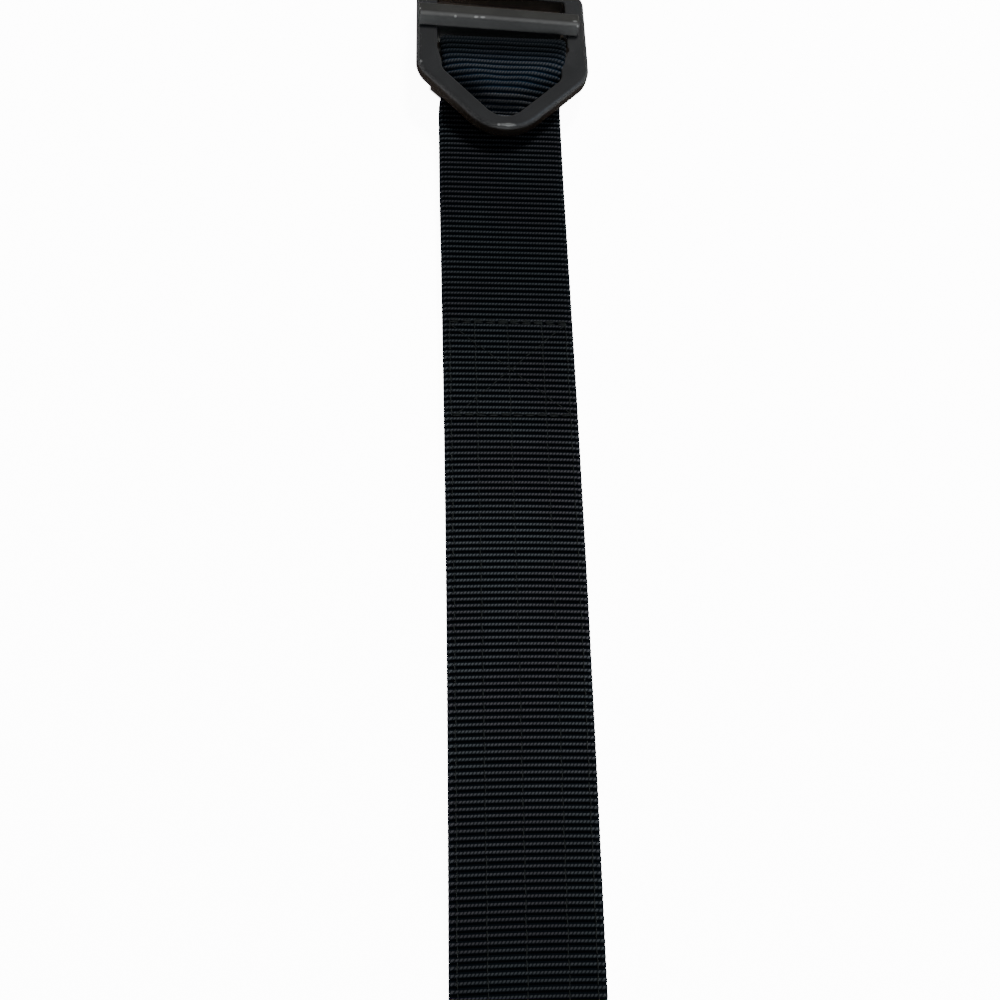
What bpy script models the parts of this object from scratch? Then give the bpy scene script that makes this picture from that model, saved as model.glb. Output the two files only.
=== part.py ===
"""A heavy webbing belt laid out straight, folded round the crossbar of a quick-fit ring buckle.

Metres, +Z up. The belt rests on z = 0 and points along +Y towards its buckle. The origin is the
middle of its footprint, on the centre line of the buckle.
"""

import math

import bmesh
import bpy
from mathutils import Matrix

# The whole belt, and the gap left between pieces that touch
BELT_LENGTH = 1.100
GAP = 0.0003

# The webbing: one length, folded in two
WEBBING_WIDTH = 0.04445
PLY = 0.0023
STRAP_OFFSET = -0.0014
STRAP_OFFSET_AT_BAR = 0.0
OFFSET_FROM = 0.010
OFFSET_TO = 0.025
FLARE_AT_BAR = 0.0008
COLUMNS = 16

# The buckle frame. Lengths along the belt are measured from the tip of the ring.
BUCKLE_LENGTH = 0.0706
BUCKLE_HALF_WIDTH = 0.0314
FRAME_THICKNESS = 0.0063
TIP_RADIUS = 0.0172
HOLE_TIP = 0.00425
HOLE_RADIUS = 0.00855
SHOULDER_RADIUS = 0.010
THROAT_HALF_WIDTH = 0.0227
THROAT_RADIUS = 0.004
THROAT_END = 0.0276
WINDOW_HALF_WIDTH = 0.02435
WINDOW_START = 0.0341
WINDOW_END = 0.0636
STEP_RADIUS = 0.006
WINDOW_RADIUS = 0.003
END_CORNER_RADIUS = 0.0076
OUTER_ROUND = 0.0017
INNER_ROUND = 0.0008

# The rails bend down behind the ring until the end bar rests on the table
BEND_START = 0.0266
BEND_LENGTH = 0.007
BEND_FACETS = 4
ONE_PLACE = 1e-6  # points closer than this are in one place

# The crossbar inside the fold
CROSSBAR_AT = 0.0371
CROSSBAR_RADIUS = 0.003
CROSSBAR_SIDES = 24
LOOP_STEPS = 14

# The slide bar that lies across the rails
SLIDE_AT = 0.0449
SLIDE_LENGTH = 0.0591
SLIDE_OFFSET = -0.0008
SLIDE_DEPTH = 0.0074
SLIDE_HEIGHT = 0.0046
SLIDE_FACE_LEAN = 0.0022
SLIDE_CREST_RADIUS = 0.0009
SLIDE_BACK_RADIUS = 0.0008
SLIDE_TOE_RADIUS = 0.0003
SLIDE_SKEW = math.radians(-2.2)
SLIDE_BLOCK_HALF_WIDTH = 0.0234
SLIDE_BLOCK_INSET = 0.0004
SLIDE_LIP_HALF_WIDTH = 0.0268
SLIDE_LIP_THICKNESS = 0.0014

# How the upper ply rises through the ring
PUFF_START = 0.0005
PUFF_REACH = 0.0172
RAMP_START = 0.0266

TIP_Y = BELT_LENGTH / 2 - BUCKLE_LENGTH
TAIL_Y = -BELT_LENGTH / 2
STRAP_TOP = 2 * PLY + GAP
RING_UNDERSIDE = STRAP_TOP + GAP
RING_APEX = TIP_RADIUS * (1 - math.sqrt(2))
HOLE_APEX = HOLE_TIP + HOLE_RADIUS * (1 - math.sqrt(2))
RAIL_SLOPE = RING_UNDERSIDE / (BUCKLE_LENGTH - OUTER_ROUND - BEND_START - BEND_LENGTH / 2)


def clear_scene():
    for old in list(bpy.data.objects):
        bpy.data.objects.remove(old)


def new_collection(name):
    made = bpy.data.collections.new(name)
    bpy.context.scene.collection.children.link(made)
    return made


def material(name, colour, roughness, metallic):
    made = bpy.data.materials.new(name)
    made.use_nodes = True
    surface = made.node_tree.nodes["Principled BSDF"]
    surface.inputs["Base Color"].default_value = (*colour, 1.0)
    surface.inputs["Roughness"].default_value = roughness
    surface.inputs["Metallic"].default_value = metallic
    return made


def new_object(name, mesh, collection, surface):
    made = bpy.data.objects.new(name, mesh)
    mesh.materials.clear()
    mesh.materials.append(surface)
    collection.objects.link(made)
    return made


def ease(value):
    """Smooth step from 0 to 1."""
    held = min(max(value, 0.0), 1.0)
    return held * held * (3 - 2 * held)


def rounded_outline(corners, steps=8):
    """Points round an outline of (x, y, radius) corners, with this many steps to a square corner."""
    points = []
    for index, (x, y, radius) in enumerate(corners):
        before = corners[index - 1]
        after = corners[(index + 1) % len(corners)]
        start = math.atan2(before[1] - y, before[0] - x)
        end = math.atan2(after[1] - y, after[0] - x)
        half_angle = abs((end - start + math.pi) % (2 * math.pi) - math.pi) / 2
        bisector = math.atan2(math.sin(start) + math.sin(end), math.cos(start) + math.cos(end))
        reach = radius / math.sin(half_angle)
        centre_x = x + reach * math.cos(bisector)
        centre_y = y + reach * math.sin(bisector)
        sweep = math.pi / 2 - half_angle
        turn = math.copysign(1.0, math.sin(end - start))
        arc_steps = max(2, math.ceil(steps * sweep / (math.pi / 4) - 0.01))
        for step in range(arc_steps + 1):
            share = 2 * step / arc_steps - 1
            angle = bisector + math.pi - turn * sweep * share
            points.append((centre_x + radius * math.cos(angle), centre_y + radius * math.sin(angle)))
    return points


def mirrored_corners(half):
    """A full outline from its right half, whose first corner is on the centre line."""
    left = [(-x, y, radius) for x, y, radius in reversed(half) if x > 0]
    return half + left


def flat_solid(outlines, thickness):
    """The mesh of a plate cut to closed outlines, centred on its own XY plane."""
    curve = bpy.data.curves.new("outline", "CURVE")
    curve.dimensions = "2D"
    curve.fill_mode = "BOTH"
    curve.extrude = thickness / 2
    for outline in outlines:
        spline = curve.splines.new("POLY")
        spline.points.add(len(outline) - 1)
        for point, (x, y) in zip(spline.points, outline):
            point.co = (x, y, 0.0, 1.0)
        spline.use_cyclic_u = True
    drawn = bpy.data.objects.new("outline", curve)
    bpy.context.scene.collection.objects.link(drawn)
    mesh = bpy.data.meshes.new_from_object(drawn.evaluated_get(bpy.context.evaluated_depsgraph_get()))
    bpy.data.objects.remove(drawn)
    shape = bmesh.new()
    shape.from_mesh(mesh)
    bmesh.ops.remove_doubles(shape, verts=shape.verts, dist=1e-7)
    bmesh.ops.recalc_face_normals(shape, faces=shape.faces)
    shape.to_mesh(mesh)
    shape.free()
    return mesh


def add_boolean(target, tool, operation, cutters):
    """Joins or cuts target with tool, which moves to the collection of hidden tools."""
    for owner in list(tool.users_collection):
        owner.objects.unlink(tool)
    cutters.objects.link(tool)
    tool.hide_render = True
    tool.display_type = "WIRE"
    made = target.modifiers.new(tool.name, "BOOLEAN")
    made.operation = operation
    made.solver = "EXACT"
    made.object = tool


def rail_drop(along):
    """How far the frame has bent down at this distance from the ring's tip."""
    past = along - BEND_START
    if past <= 0:
        return 0.0
    if past >= BEND_LENGTH:
        return RAIL_SLOPE * (past - BEND_LENGTH / 2)
    facet = BEND_LENGTH / BEND_FACETS
    step = math.floor(past / facet)
    share = past / facet - step
    depths = [RAIL_SLOPE * (number * facet) ** 2 / (2 * BEND_LENGTH) for number in (step, step + 1)]
    return depths[0] + (depths[1] - depths[0]) * share


def frame_outlines():
    outside = mirrored_corners([
        (0.0, RING_APEX, TIP_RADIUS),
        (BUCKLE_HALF_WIDTH, RING_APEX + BUCKLE_HALF_WIDTH, SHOULDER_RADIUS),
        (BUCKLE_HALF_WIDTH, BUCKLE_LENGTH, END_CORNER_RADIUS),
    ])
    inside = mirrored_corners([
        (0.0, HOLE_APEX, HOLE_RADIUS),
        (THROAT_HALF_WIDTH, HOLE_APEX + THROAT_HALF_WIDTH, THROAT_RADIUS),
        (THROAT_HALF_WIDTH, THROAT_END, STEP_RADIUS),
        (WINDOW_HALF_WIDTH, WINDOW_START, STEP_RADIUS),
        (WINDOW_HALF_WIDTH, WINDOW_END, WINDOW_RADIUS),
    ])
    return rounded_outline(outside, steps=10), rounded_outline(inside)


def cut_and_merge_faces(shape):
    """Large flat faces, parted only on the centre line and where the rails bend."""
    bends = [BEND_START + BEND_LENGTH * facet / BEND_FACETS for facet in range(BEND_FACETS + 1)]
    planes = [((0, 0, 0), (1, 0, 0))] + [((0, bend, 0), (0, 1, 0)) for bend in bends]
    for point, normal in planes:
        everything = list(shape.verts) + list(shape.edges) + list(shape.faces)
        bmesh.ops.bisect_plane(shape, geom=everything, plane_co=point, plane_no=normal, dist=1e-7)
    shape.normal_update()
    spare = []
    for edge in shape.edges:
        ends = [vertex.co for vertex in edge.verts]
        on_centre = all(abs(end.x) < ONE_PLACE for end in ends)
        on_bend = any(all(abs(end.y - bend) < ONE_PLACE for end in ends) for bend in bends)
        if all(abs(face.normal.z) > 0.5 for face in edge.link_faces) and not on_centre and not on_bend:
            spare.append(edge)
    bmesh.ops.dissolve_edges(shape, edges=spare, use_verts=False)
    loose_ends = [vertex for vertex in shape.verts if len(vertex.link_edges) == 2]
    bmesh.ops.dissolve_verts(shape, verts=loose_ends)
    shape.normal_update()


def mark_rounded_edges(shape):
    """Weights for the Bevel modifier: all of it outside the frame, less of it round the hole."""
    weight = shape.edges.layers.float.new("bevel_weight_edge")
    middle = BUCKLE_LENGTH / 2
    for edge in shape.edges:
        flat = [face for face in edge.link_faces if abs(face.normal.z) > 0.5]
        upright = [face for face in edge.link_faces if abs(face.normal.z) <= 0.5]
        if len(flat) != 1 or len(upright) != 1:
            continue
        centre = (edge.verts[0].co + edge.verts[1].co) / 2
        outward = upright[0].normal.x * centre.x + upright[0].normal.y * (centre.y - middle)
        edge[weight] = 1.0 if outward > 0 else INNER_ROUND / OUTER_ROUND


def build_buckle_frame(collection, cutters, surface):
    mesh = flat_solid(frame_outlines(), FRAME_THICKNESS)
    shape = bmesh.new()
    shape.from_mesh(mesh)
    cut_and_merge_faces(shape)
    mark_rounded_edges(shape)
    for vertex in shape.verts:
        vertex.co.z -= rail_drop(vertex.co.y)
    shape.to_mesh(mesh)
    shape.free()
    frame = new_object("buckle_frame", mesh, collection, surface)
    frame.location = (0.0, TIP_Y, RING_UNDERSIDE + FRAME_THICKNESS / 2)
    rounding = frame.modifiers.new("rounded_edges", "BEVEL")
    rounding.limit_method = "WEIGHT"
    rounding.width = OUTER_ROUND
    rounding.segments = 3
    rounding.use_clamp_overlap = False
    bpy.ops.mesh.primitive_cylinder_add(
        vertices=CROSSBAR_SIDES,
        radius=CROSSBAR_RADIUS,
        depth=WINDOW_HALF_WIDTH + BUCKLE_HALF_WIDTH,
        location=(0.0, TIP_Y + CROSSBAR_AT, crossbar_height()),
        rotation=(0.0, math.pi / 2, 0.0),
    )
    crossbar = bpy.context.object
    crossbar.name = "crossbar"
    add_boolean(frame, crossbar, "UNION", cutters)
    return frame


def crossbar_height():
    return RING_UNDERSIDE + FRAME_THICKNESS / 2 - rail_drop(CROSSBAR_AT)


def slide_profile():
    """The slide bar above the rails, front to back and upwards from the rails."""
    return rounded_outline([
        (0.0, GAP, SLIDE_TOE_RADIUS),
        (SLIDE_DEPTH, GAP, SLIDE_TOE_RADIUS),
        (SLIDE_DEPTH, SLIDE_HEIGHT, SLIDE_BACK_RADIUS),
        (SLIDE_FACE_LEAN, SLIDE_HEIGHT, SLIDE_CREST_RADIUS),
    ], steps=4)


def bar_across(name, outline, half_length, collection, surface):
    """An outline given as (along, up) points, drawn out sideways to both ends."""
    mesh = flat_solid([outline], 2 * half_length)
    mesh.transform(Matrix(((0, 0, 1, 0), (1, 0, 0, 0), (0, 1, 0, 0), (0, 0, 0, 1))))
    return new_object(name, mesh, collection, surface)


def box_outline(front, back, low, high):
    return [(front, low), (back, low), (back, high), (front, high)]


def build_slide_bar(collection, cutters, surface):
    slide = bar_across("slide_bar", slide_profile(), SLIDE_LENGTH / 2, collection, surface)
    front = SLIDE_BLOCK_INSET
    back = SLIDE_DEPTH - SLIDE_BLOCK_INSET
    lip_top = -FRAME_THICKNESS - GAP
    lip_bottom = lip_top - SLIDE_LIP_THICKNESS
    block = bar_across(
        "slide_block",
        box_outline(front, back, lip_bottom, SLIDE_HEIGHT / 2),
        SLIDE_BLOCK_HALF_WIDTH,
        collection,
        surface,
    )
    lips = bar_across(
        "slide_lips",
        box_outline(front, back, lip_bottom, lip_top),
        SLIDE_LIP_HALF_WIDTH,
        collection,
        surface,
    )
    height = RING_UNDERSIDE + FRAME_THICKNESS - rail_drop(SLIDE_AT)
    for piece in (slide, block, lips):
        piece.location = (SLIDE_OFFSET, TIP_Y + SLIDE_AT, height)
        piece.rotation_euler = (-math.atan(RAIL_SLOPE), 0.0, SLIDE_SKEW)
    add_boolean(slide, block, "UNION", cutters)
    add_boolean(slide, lips, "UNION", cutters)
    return slide


def depth_in_hole(x, along):
    """Distance inside the ring from its two arms, smoothed over its tip."""
    return (along - HOLE_APEX - math.hypot(x, HOLE_TIP - HOLE_APEX)) / math.sqrt(2)


def upper_ply_height(x, along):
    """Middle of the upper ply: flat under the ring, puffed up inside it, level at the crossbar."""
    flat = STRAP_TOP - PLY / 2
    crest = crossbar_height() + CROSSBAR_RADIUS + GAP + PLY / 2
    puff = ease((depth_in_hole(x, along) - PUFF_START) / PUFF_REACH)
    ramp = ease((along - RAMP_START) / (CROSSBAR_AT - RAMP_START))
    return flat + (crest - flat) * (1 - (1 - puff) * (1 - ramp))


def under_ply_height(along):
    """Middle of the under ply: on the table, rising to the underside of the crossbar."""
    flat = PLY / 2
    fold = crossbar_height() - CROSSBAR_RADIUS - GAP - PLY / 2
    return flat + (fold - flat) * ease((along - RAMP_START) / (CROSSBAR_AT - RAMP_START))


def ply_stations():
    """Distances from the ring's tip where the webbing has a row of points, tail first."""
    tail = TAIL_Y - TIP_Y
    flat_rows = 10
    ring_rows = 24
    flat = [tail * (1 - row / flat_rows) for row in range(flat_rows)]
    risen = [CROSSBAR_AT * row / ring_rows for row in range(ring_rows)]
    return flat + risen


def webbing_rows():
    """A row for each station, as (along, function of x that gives the height)."""
    stations = ply_stations()
    rows = [(along, lambda x, at=along: upper_ply_height(x, at)) for along in stations]
    radius = CROSSBAR_RADIUS + GAP + PLY / 2
    for step in range(LOOP_STEPS + 1):
        angle = math.pi * step / LOOP_STEPS
        along = CROSSBAR_AT + radius * math.sin(angle)
        height = crossbar_height() + radius * math.cos(angle)
        rows.append((along, lambda x, at=height: at))
    rows += [(along, lambda x, at=along: under_ply_height(at)) for along in reversed(stations)]
    return rows


def build_webbing(collection, surface):
    rows = webbing_rows()
    shape = bmesh.new()
    bmesh.ops.create_grid(shape, x_segments=COLUMNS, y_segments=len(rows) - 1, size=1.0)
    for vertex in shape.verts:
        across = vertex.co.x
        along, height_at = rows[round((vertex.co.y + 1) / 2 * (len(rows) - 1))]
        near_bar = ease((along - THROAT_END) / (CROSSBAR_AT - THROAT_END))
        x = across * (WEBBING_WIDTH / 2 + FLARE_AT_BAR * near_bar)
        shift = ease((along - OFFSET_FROM) / (OFFSET_TO - OFFSET_FROM))
        x += STRAP_OFFSET + (STRAP_OFFSET_AT_BAR - STRAP_OFFSET) * shift
        vertex.co = (x, TIP_Y + along, height_at(x))
    mesh = bpy.data.meshes.new("webbing")
    shape.to_mesh(mesh)
    shape.free()
    webbing = new_object("webbing", mesh, collection, surface)
    wall = webbing.modifiers.new("ply", "SOLIDIFY")
    wall.thickness = PLY
    wall.offset = 0.0
    wall.use_even_offset = True
    mesh.shade_smooth()
    mesh.set_sharp_from_angle(angle=math.radians(40))
    return webbing


def main():
    clear_scene()
    belt = new_collection("webbing_belt")
    cutters = new_collection("hidden_tools")
    coated_steel = material("coated_steel", (0.028, 0.030, 0.031), 0.42, 0.6)
    black_webbing = material("black_webbing", (0.012, 0.013, 0.014), 0.85, 0.0)
    build_buckle_frame(belt, cutters, coated_steel)
    build_slide_bar(belt, cutters, coated_steel)
    build_webbing(belt, black_webbing)


main()
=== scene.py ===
"""Looks for a webbing belt laid out straight: ribbed webbing, its stitching and a coated buckle.

Metres, +Z up, +Y along the belt towards the buckle. Distances "along" the belt are measured from
the tip of the buckle's ring, as in the part's own source.
"""

import math

import bmesh
import bpy
import numpy as np
from bpy.props import FloatProperty, FloatVectorProperty, IntProperty, PointerProperty
from mathutils import Matrix, Vector


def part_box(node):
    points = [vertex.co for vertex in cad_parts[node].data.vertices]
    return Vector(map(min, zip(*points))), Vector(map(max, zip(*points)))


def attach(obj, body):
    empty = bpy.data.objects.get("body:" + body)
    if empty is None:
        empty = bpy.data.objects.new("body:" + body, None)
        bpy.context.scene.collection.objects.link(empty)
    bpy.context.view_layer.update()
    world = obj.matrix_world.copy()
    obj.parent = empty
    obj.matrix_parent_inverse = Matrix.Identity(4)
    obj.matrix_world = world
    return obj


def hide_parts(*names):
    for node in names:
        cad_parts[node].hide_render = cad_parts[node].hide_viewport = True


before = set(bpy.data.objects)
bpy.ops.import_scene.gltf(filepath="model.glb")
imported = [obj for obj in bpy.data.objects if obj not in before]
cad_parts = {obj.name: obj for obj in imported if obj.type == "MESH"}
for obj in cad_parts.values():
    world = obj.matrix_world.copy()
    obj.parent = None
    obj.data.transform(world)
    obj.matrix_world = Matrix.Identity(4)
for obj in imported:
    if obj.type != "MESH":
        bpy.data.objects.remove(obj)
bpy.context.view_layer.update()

bl_info = {
    "name": "Webbing belt",
    "version": (1, 0, 0),
    "blender": (4, 5, 0),
    "location": "View3D > Sidebar > Belt",
    "description": "Dresses a webbing belt with a ring buckle",
    "category": "Object",
}

# All from the frame: the tip of the buckle's ring, the buckle's size and the belt's cut end
TIP_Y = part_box("buckle_frame")[0].y
TIP = Vector((0.0, TIP_Y, 0.0))
BUCKLE_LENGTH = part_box("buckle_frame")[1].y - TIP_Y
BUCKLE_HALF_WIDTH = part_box("buckle_frame")[1].x
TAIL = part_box("webbing")[0].y - TIP_Y
# Free space between the two plies, and between webbing and metal
GAP = 0.0003
# Points that lie closer together than this are one
SAME_PLACE = 1e-6

# The photo's camera: its place, its directions to the right and upwards, the origin near the
# ring's tip that its place is counted from, and its focal length as a share of the picture's width
CAMERA_POINT = (-0.0398, -0.2614, 0.3609)
CAMERA_RIGHT = (0.99573, -0.02724, 0.08816)
CAMERA_UP = (-0.00553, 0.93608, 0.35176)
PHOTO_ORIGIN = (-0.0014, -0.01467, 0.0049)
FOCAL_SHARE = 1.198


def length(name, default, description):
    """A setting in metres."""
    metres = {"unit": "LENGTH", "subtype": "DISTANCE", "precision": 5}
    return FloatProperty(name=name, description=description, default=default, **metres)


def angle(name, degrees, description):
    """A setting that is given in degrees here and kept in radians."""
    default = math.radians(degrees)
    return FloatProperty(name=name, description=description, default=default, subtype="ANGLE")


def colour(name, default, description):
    """A setting in linear red, green and blue."""
    linear = {"subtype": "COLOR", "size": 3, "min": 0.0, "max": 1.0}
    return FloatVectorProperty(name=name, description=description, default=default, **linear)


class WebbingSettings(bpy.types.PropertyGroup):
    width: length("Width", 0.04445, "Width of the webbing")
    ply: length("Ply", 0.0023, "Thickness of one ply at the crest of a rib")
    rib_pitch: length("Rib pitch", 0.002065, "Distance from rib to rib")
    rib_depth: length("Rib depth", 0.0006, "Depth of the groove between two ribs")
    offset: length("Offset", -0.0014, "How far the strap lies to the side of the buckle's centre line")
    flare: length("Flare", 0.0008, "How much wider each side is where the webbing meets the crossbar")
    puff_reach: length("Puff reach", 0.0084, "Distance inside the ring over which the webbing puffs up")
    valley: length("Valley", 0.0016, "How far the middle of the webbing hangs between ring and crossbar")
    valley_width: length("Valley width", 0.0049, "Half the width of the part that hangs there")
    side_bow: length("Side bow", 0.0007, "How far the strap bows to the right between its ends in view")
    yarns: IntProperty(name="Yarns", description="Number of warp yarns across the webbing", default=41)
    rib_bow: length("Rib bow", 0.00028, "How far the middle of a rib runs ahead of its ends")
    crest_colour: colour("Crest colour", (0.0345, 0.0398, 0.0446), "Colour on the crest of a rib")
    # The grooves' near-black colour is painted shade between the ribs
    groove_shade_colour: colour("Groove colour", (0.0011, 0.0018, 0.0026), "Colour between the ribs")
    # Inside the ring, where the webbing climbs, paler crests and bluer grooves are painted light
    ring_lit_colour: colour(
        "Colour in the ring", (0.040, 0.0415, 0.0455), "Paler colour of the crests in the ring"
    )
    ring_groove_lit_colour: colour(
        "Groove in the ring", (0.0018, 0.0060, 0.0118), "Bluer colour between the ribs in the ring"
    )


class StitchSettings(bpy.types.PropertyGroup):
    pitch: length("Pitch", 0.0041, "Distance from stitch to stitch")
    thread: length("Thread", 0.00044, "Thickness of the thread")
    sunk: length("Sunk", 0.00012, "How deep the middle of a stitch lies below the crests of the ribs")
    wander: length("Wander", 0.00012, "How far a stitch strays from its straight seam")
    thread_colour: colour("Thread colour", (0.0074, 0.0090, 0.0088), "Colour of the thread")


class BuckleSettings(bpy.types.PropertyGroup):
    thickness: length("Thickness", 0.0063, "Thickness of the frame")
    tip_radius: length("Tip radius", 0.0172, "Outer radius of the ring's tip")
    shoulder_radius: length("Shoulder radius", 0.010, "Outer radius where ring and rail meet")
    end_radius: length("End radius", 0.0076, "Outer radius of the end corners")
    hole_tip: length("Hole tip", 0.0054, "Width of the ring at its tip")
    hole_radius: length("Hole radius", 0.00855, "Radius of the hole at the ring's tip")
    throat_half_width: length("Throat", 0.0227, "Half the width of the hole where ring and rail meet")
    throat_inset: length("Throat inset", 0.0012, "How much nearer the middle the throat's right side is")
    throat_radius: length("Throat radius", 0.004, "Radius of the hole's corner at the throat")
    throat_end: length("Throat end", 0.0276, "Where the hole starts to widen")
    window_half_width: length("Window", 0.02435, "Half the width of the window")
    window_start: length("Window start", 0.0341, "Where the hole has its full width")
    window_end: length("Window end", 0.0633, "Where the window ends")
    step_radius: length("Step radius", 0.006, "Radius of the bends where the hole widens")
    window_radius: length("Window radius", 0.0015, "Radius of the window's end corners")
    outer_round: length("Outer round", 0.0018, "Rounding of the outer edges")
    inner_round: length("Inner round", 0.0008, "Rounding of the edges of the hole")
    bend_start: length("Bend start", 0.0266, "Where the rails start to bend down")
    bend_length: length("Bend length", 0.007, "Length over which the rails bend")
    crossbar_at: length("Crossbar", 0.0371, "Where the crossbar lies")
    crossbar_radius: length("Crossbar radius", 0.003, "Radius of the crossbar")
    coating: colour("Coating", (0.0147, 0.0151, 0.0158), "Colour of the coating")
    # Bare metal shows where the coating is worn, and along the slide bar's crest and the ring's tip it
    # is also a painted highlight
    bare: colour("Bare metal", (0.22, 0.225, 0.225), "Colour where the coating has worn off")
    # Upright faces take this darker brown colour instead of the coating, as painted shade
    side: colour("Side", (0.0026, 0.0018, 0.0012), "Colour of the darker upright sides")
    turn: angle("Turn", -1.0, "How far the frame lies askew")
    roll: angle("Roll", 2.3, "How far the frame leans to the right")
    pitch: angle("Pitch", 0.57, "How far the frame's end is tipped up")


class SlideSettings(bpy.types.PropertyGroup):
    at: length("Place", 0.0443, "Where the slide bar has its front")
    span: length("Span", 0.0600, "Length of the slide bar from end to end")
    offset: length("Offset", -0.0014, "How far it lies to the side of the centre line")
    depth: length("Depth", 0.0074, "Depth of the bar along the belt")
    height: length("Height", 0.0046, "Height of the bar above the rails")
    lean: length("Lean", 0.0022, "How far the front face leans back")
    crest_radius: length("Crest radius", 0.0022, "Rounding of the front top edge")
    block_half_width: length("Block", 0.0234, "Half the width of the block between the rails")
    lip_half_width: length("Lips", 0.0268, "Half the width over the lips below the rails")
    lip_thickness: length("Lip thickness", 0.0014, "Thickness of the lips")
    # The bar's upright faces, its front among them, take the darker front colour as painted shade
    coating: colour("Coating", (0.0194, 0.0197, 0.0188), "Colour of the bar's coating")
    front: colour("Front", (0.0128, 0.0140, 0.0142), "Colour of the bar's front")
    skew: angle("Skew", 0.5, "How far the bar lies askew on the rails")


class StageSettings(bpy.types.PropertyGroup):
    floor_size: length("Floor size", 6.0, "Side of the floor")
    floor_colour: colour("Floor colour", (0.86, 0.86, 0.855), "Colour of the floor")
    glow: FloatProperty(name="Glow", description="How strongly the floor glows", default=12.0)


def ease(value):
    """Smooth step from 0 to 1, for numbers and arrays."""
    held = np.clip(value, 0.0, 1.0)
    return held * held * (3 - 2 * held)


class Socket:
    """A shader socket. Arithmetic on a number's socket adds the Math nodes for it."""

    def __init__(self, finish, socket):
        self.finish = finish
        self.socket = socket

    def maths(self, operation, *others):
        """A Math node's result for this socket and the others."""
        return self.finish.maths(operation, self, *others)

    def __add__(self, other):
        return self.maths("ADD", other)

    def __sub__(self, other):
        return self.maths("SUBTRACT", other)

    def __mul__(self, other):
        return self.maths("MULTIPLY", other)

    def __rsub__(self, other):
        return self.finish.maths("SUBTRACT", other, self)

    __radd__ = __add__
    __rmul__ = __mul__

    def wave(self):
        """1 halfway between two whole numbers and 0 at each of them."""
        return (self * math.pi).maths("SINE").maths("ABSOLUTE")

    def above(self, low, high):
        """0 below low, 1 above high and smooth between."""
        return self.finish.node(
            "ShaderNodeMapRange",
            {"interpolation_type": "SMOOTHSTEP"},
            {"Value": self, "From Min": low, "From Max": high},
        )

    def past(self, stretch):
        """0 before a stretch of the belt and 1 past it, where this is a place on Y."""
        return self.above(TIP_Y + stretch[0], TIP_Y + stretch[1])


class Finish:
    """A material that is built up node by node."""

    def __init__(self, name):
        self.material = bpy.data.materials.new(name)
        self.material.use_nodes = True
        self.nodes = self.material.node_tree.nodes
        self.links = self.material.node_tree.links
        self.surface = self.nodes["Principled BSDF"]
        self.place = self.node("ShaderNodeTexCoord", output="Object")

    def put(self, socket, value):
        """Links a socket, or sets a colour or any other value."""
        if isinstance(value, Socket):
            self.links.new(value.socket, socket)
        elif socket.type == "RGBA":
            socket.default_value = (*value[:3], 1.0)
        else:
            socket.default_value = value

    def node(self, kind, settings=None, inputs=None, output=0):
        """Adds a node. Its settings are set first, then the values or links of its sockets."""
        made = self.nodes.new(kind)
        for name, value in (settings or {}).items():
            setattr(made, name, value)
        for name, value in (inputs or {}).items():
            self.put(made.inputs[name], value)
        return Socket(self, made.outputs[output])

    def maths(self, operation, *values):
        return self.node("ShaderNodeMath", {"operation": operation}, dict(enumerate(values)))

    def noise(self, scale, detail, roughness=0.5, place=None):
        place = place or self.place
        inputs = {"Vector": place, "Scale": scale, "Detail": detail, "Roughness": roughness}
        return self.node("ShaderNodeTexNoise", inputs=inputs)

    def stretched(self, scale):
        return self.node("ShaderNodeMapping", inputs={"Vector": self.place, "Scale": scale})

    def blend(self, share, first, second):
        """The first colour where share is 0, and the second where it is 1."""
        colour_sockets = {0: share, 6: first, 7: second}
        return self.node("ShaderNodeMix", {"data_type": "RGBA"}, colour_sockets, output=2)

    def parts(self, vector):
        """The three numbers of a vector socket."""
        first = self.node("ShaderNodeSeparateXYZ", inputs={"Vector": vector})
        outputs = first.socket.node.outputs
        return [Socket(self, outputs[axis]) for axis in ("X", "Y", "Z")]

    def attribute(self, name, output):
        return self.node("ShaderNodeAttribute", {"attribute_name": name}, output=output)

    def bump(self, height, strength, distance):
        return self.node(
            "ShaderNodeBump", inputs={"Height": height, "Strength": strength, "Distance": distance}
        )

    def finished(self, **values):
        """Sets the surface's sockets, whose names are written with underscores, and hands it over."""
        for name, value in values.items():
            self.put(self.surface.inputs[name.replace("_", " ").title().replace("Ior", "IOR")], value)
        return self.material


def new_object(name, data):
    made = bpy.data.objects.new(name, data)
    bpy.context.scene.collection.objects.link(made)
    return made


def new_piece(name, mesh, surface):
    """A piece of the belt, which is one rigid body."""
    mesh.materials.append(surface)
    made = new_object(name, mesh)
    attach(made, "root")
    return made


def as_mesh(name, shape):
    """Turns a bmesh into a mesh."""
    mesh = bpy.data.meshes.new(name)
    shape.to_mesh(mesh)
    shape.free()
    return mesh


def finished_mesh(name, shape):
    """The mesh of a bmesh, whose faces are made to point outwards."""
    if shape.calc_volume(signed=True) < 0:
        bmesh.ops.reverse_faces(shape, faces=shape.faces)
    return as_mesh(name, shape)


def smooth(mesh, sharp_from):
    """Shades a mesh smoothly, save at the edges that turn by at least this many degrees."""
    mesh.shade_smooth()
    mesh.set_sharp_from_angle(angle=math.radians(sharp_from))
    return mesh


# The shape of the buckle and of the webbing in it


def frame_underside(webbing):
    """Height of the frame's underside, which lies on two plies of webbing."""
    return 2 * webbing.ply + 2 * GAP


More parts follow.
